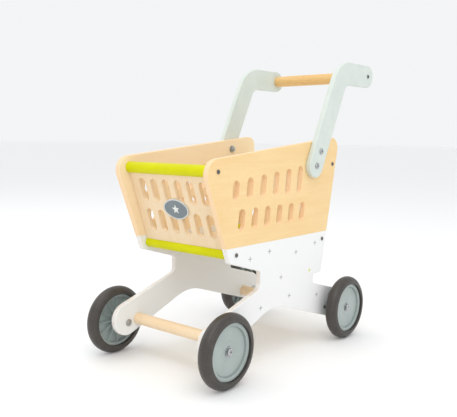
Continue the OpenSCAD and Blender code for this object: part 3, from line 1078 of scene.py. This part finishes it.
@dataclass
class Studio:
    """A pale floor, soft lights and the camera.

    Attributes:
        lamps: The lamps.
        aim_z: Height of the point over the cart's middle that the lamps face.
        floor_half: Half the floor's side.
        floor_tone: Paint code of the floor.
        sky: Paint code of the surroundings.
        sky_power: Strength of the surroundings' light.
        camera_at: The camera's place.
        heading: The camera's turn about the vertical, in degrees.
        pitch: How far the camera looks down, in degrees.
        roll: The camera's turn about its own axis, in degrees.
        lens: Focal length in millimetres on a 36 mm wide frame.
    """

    lamps: tuple[Lamp, ...] = (
        Lamp("key", (1.5, -1.3, 1.9), 1.8, 13.0),
        Lamp("fill", (-1.8, -0.6, 1.6), 2.0, 6.0),
        Lamp("top", (0.1, -0.3, 2.3), 2.2, 10.0),
    )
    aim_z: float = 0.2
    floor_half: float = 30.0
    floor_tone: str = "FAFAFA"
    sky: str = "F6F7F8"
    sky_power: float = 0.98
    camera_at: tuple[float, float, float] = (0.65335, -0.81345, 0.33736)
    heading: float = 40.243
    pitch: float = 6.304
    roll: float = 0.645
    lens: float = 50.45

    def floor(self) -> None:
        """Lays the floor."""
        graph = Graph("pale_floor")
        speck = graph.noise((40, 40, 40), detail=3.0)
        graph.surface(
            Base_Color=paint_colour(self.floor_tone),
            Roughness=speck * 0.1 + 0.6,
            Specular_IOR_Level=0.2,
        )
        shape = bmesh.new()
        bmesh.ops.create_grid(shape, x_segments=1, y_segments=1, size=self.floor_half)
        mesh = bpy.data.meshes.new("floor")
        shape.to_mesh(mesh)
        shape.free()
        mesh.materials.append(graph.material)
        floor = bpy.data.objects.new("floor", mesh)
        bpy.context.scene.collection.objects.link(floor)

    def surroundings(self) -> None:
        """Fills the surroundings with even pale light."""
        world = bpy.data.worlds.new("studio")
        world.use_nodes = True
        light = world.node_tree.nodes["Background"]
        light.inputs["Color"].default_value = paint_colour(self.sky)
        light.inputs["Strength"].default_value = self.sky_power
        scene = bpy.context.scene
        scene.world = world
        scene.view_settings.view_transform = "Standard"
        scene.view_settings.look = "None"

    def camera(self) -> None:
        """Sets the camera up."""
        data = bpy.data.cameras.new("camera")
        data.sensor_fit = "HORIZONTAL"
        data.sensor_width = 36.0
        data.lens = self.lens
        data.clip_start = 0.01
        camera = bpy.data.objects.new("camera", data)
        camera.matrix_world = (
            Matrix.Translation(self.camera_at)
            @ Matrix.Rotation(math.radians(self.heading), 4, "Z")
            @ Matrix.Rotation(math.radians(90 - self.pitch), 4, "X")
            @ Matrix.Rotation(math.radians(self.roll), 4, "Z")
        )
        bpy.context.scene.collection.objects.link(camera)
        bpy.context.scene.camera = camera

    def make(self) -> None:
        """Sets the studio up."""
        self.surroundings()
        self.floor()
        for lamp in self.lamps:
            lamp.hang(Vector((0, 0, self.aim_z)))
        self.camera()


def main() -> None:
    """Builds the cart and its studio, and reports each piece."""
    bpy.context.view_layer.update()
    board_low, board_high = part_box("side_board_right")

    board_wood = Wood("board_wood", "F4D7A2", "EDC88C", "DCAA68", Axis.Y, flecks=0.2)
    board = PaintedPlywood(
        "painted_board",
        wood=board_wood,
        paint="EDEEED",
        paint_edge="E9DDD2",
        # Painted light: a pale tone mixed into the boards' inner face
        inner_face_painted_light="FCEDD4",
        cut="FAE0BC",
        glue="EFC694",
        line_z=0.185,
        inner_x=board_low.x,
        board_t=board_high.x - board_low.x,
    ).make()
    ply = Wood("natural_ply", "F0DAB8", "E8CCA4", "D6AE78", Axis.Z, flecks=0.3).make()
    beech = Wood("beech", "EBC687", "DFB069", "BF8545", Axis.X, flecks=0.5).make()
    birch = Wood("birch", "F2DBBA", "ECCDA3", "DCAF78", Axis.X, flecks=0.3).make()
    green = Paint("green_paint", "D6D600", "CFCE00", gloss=0.4, shine=0.14).make()
    mint = Paint("mint_paint", "D5DDD6", "CFD8D1", gloss=0.42).make()
    grey_ink = Paint("grey_ink", "A3A9A9", "989E9F", gloss=0.5).make()
    lime_ink = Paint("lime_ink", "D6DE3A", "C9D226", gloss=0.5).make()
    rim = Paint("badge_rim", "D3D6D4", "C7CBCA", gloss=0.35).make()
    field = Paint("badge_field", "7C878B", "737E83", gloss=0.4).make()
    star = Paint("badge_star", "ECEEEA", "E2E4E0", gloss=0.4).make()
    rubber = Rubber("tyre_rubber", "38332F", "4B4642").make()
    plastic = Paint("hub_plastic", "ACB6B3", "A2ADAA", gloss=0.38, fine=1100).make()
    black = Paint("black_plastic", "2A2A2B", "232324", gloss=0.45).make()
    steel = Metal("screw_steel", "94928C", "75736E").make()
    zinc = Metal("zinc_steel", "C9CBCB", "A8ABAC").make()

    Woodwork().make(board, ply)
    Prints().make(grey_ink, lime_ink)
    Bars().make(green, birch, beech)
    HandleArms().make(mint)
    Badge().make(rim, field, star)
    for corner in Corner:
        Wheel(corner=corner).make(rubber, plastic, black)
    Fasteners().make(steel, zinc, black)
    Studio().make()


if __name__ == "__main__":
    logging.basicConfig(level=logging.INFO, format="%(name)s: %(message)s")
    main()
